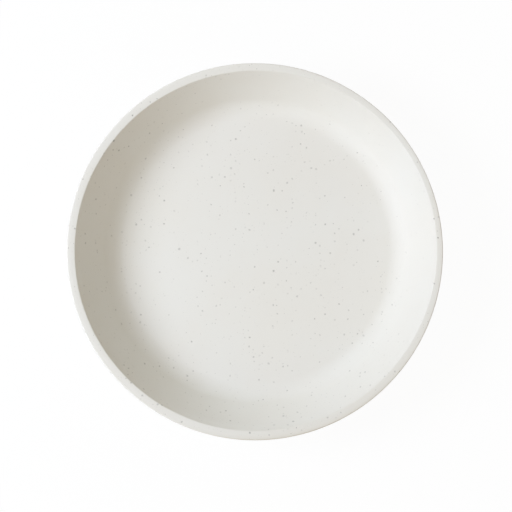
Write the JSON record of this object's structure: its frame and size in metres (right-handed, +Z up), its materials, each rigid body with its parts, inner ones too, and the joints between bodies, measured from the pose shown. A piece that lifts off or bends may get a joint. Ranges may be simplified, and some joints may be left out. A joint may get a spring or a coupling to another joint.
{
  "type": "deep plate",
  "caption": "Round stoneware deep plate: flat well floor, curved corner, straight sloping wall, flat-topped rim, bare foot ring and a satin off-white speckled glaze.",
  "frame": {"origin": "on the table under the middle of the plate, at the bottom of the foot ring", "axes": "+Z up along the plate's axis of symmetry; X and Y lie in the table"},
  "size_m": [0.21, 0.21, 0.0365],
  "materials": {
    "bare_clay": "matte",
    "inside_glaze": "satin",
    "outside_glaze": "satin"
  },
  "bodies": {
    "root": {"stoneware_body": "bare_clay", "foot_ring": "bare_clay", "inside_glaze": "inside_glaze", "outside_glaze": "outside_glaze", "base_glaze": "outside_glaze"}
  },
  "joints": []
}
